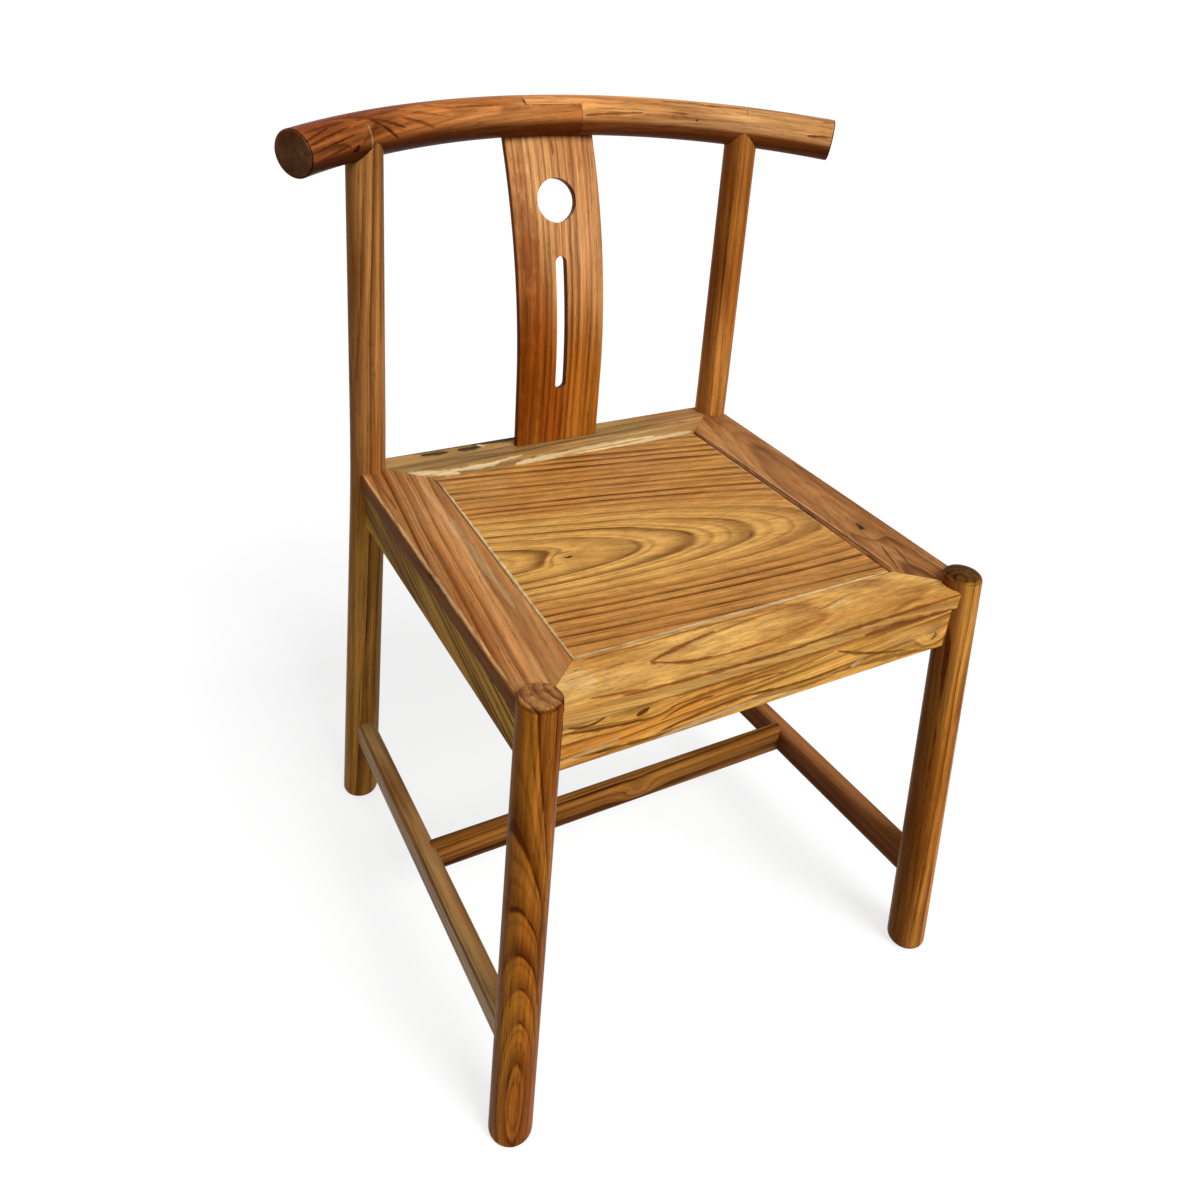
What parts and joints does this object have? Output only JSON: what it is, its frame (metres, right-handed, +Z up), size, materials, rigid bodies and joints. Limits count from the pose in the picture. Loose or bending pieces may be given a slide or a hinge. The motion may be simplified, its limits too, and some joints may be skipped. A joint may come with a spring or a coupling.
{
  "type": "slat-back side chair",
  "caption": "Solid-wood side chair: mitred seat frame with a floating panel, splayed round legs, an H stretcher and a bent pierced splat under a curved round crest rail.",
  "frame": {"origin": "on the floor under the centre of the seat frame, within a few millimetres of the bounding box's bottom centre; the crest rail's longer right overhang moves the box's centre by 5 mm along +X", "axes": "+Z up, -Y to the chair's front (the way a sitter faces), +X to the right as seen by someone who looks at the front"},
  "size_m": [0.5648, 0.521, 0.7841],
  "materials": {
    "crest_wood": "satin lacquer",
    "splat_wood": "satin lacquer",
    "leg_wood": "satin lacquer",
    "frame_wood": "satin lacquer",
    "apron_wood": "satin lacquer",
    "panel_wood": "satin lacquer",
    "stretcher_wood": "satin lacquer",
    "inner_wood": "bare wood"
  },
  "bodies": {
    "root": {"apron_front": "apron_wood", "apron_left": "apron_wood", "apron_rear": "apron_wood", "apron_right": "apron_wood", "back_splat": "splat_wood", "crest_rail_left": "crest_wood", "crest_rail_right": "crest_wood", "crest_scarf_pin_left": "inner_wood", "crest_scarf_pin_right": "inner_wood", "cross_stretcher": "stretcher_wood", "front_leg_left": "leg_wood", "front_leg_right": "leg_wood", "rear_leg_left": "leg_wood", "rear_leg_right": "leg_wood", "seat_batten_left": "inner_wood", "seat_batten_right": "inner_wood", "seat_panel": "panel_wood", "seat_rail_front": "frame_wood", "seat_rail_left": "frame_wood", "seat_rail_rear": "frame_wood", "seat_rail_right": "frame_wood", "side_stretcher_left": "stretcher_wood", "side_stretcher_right": "stretcher_wood"}
  },
  "joints": []
}
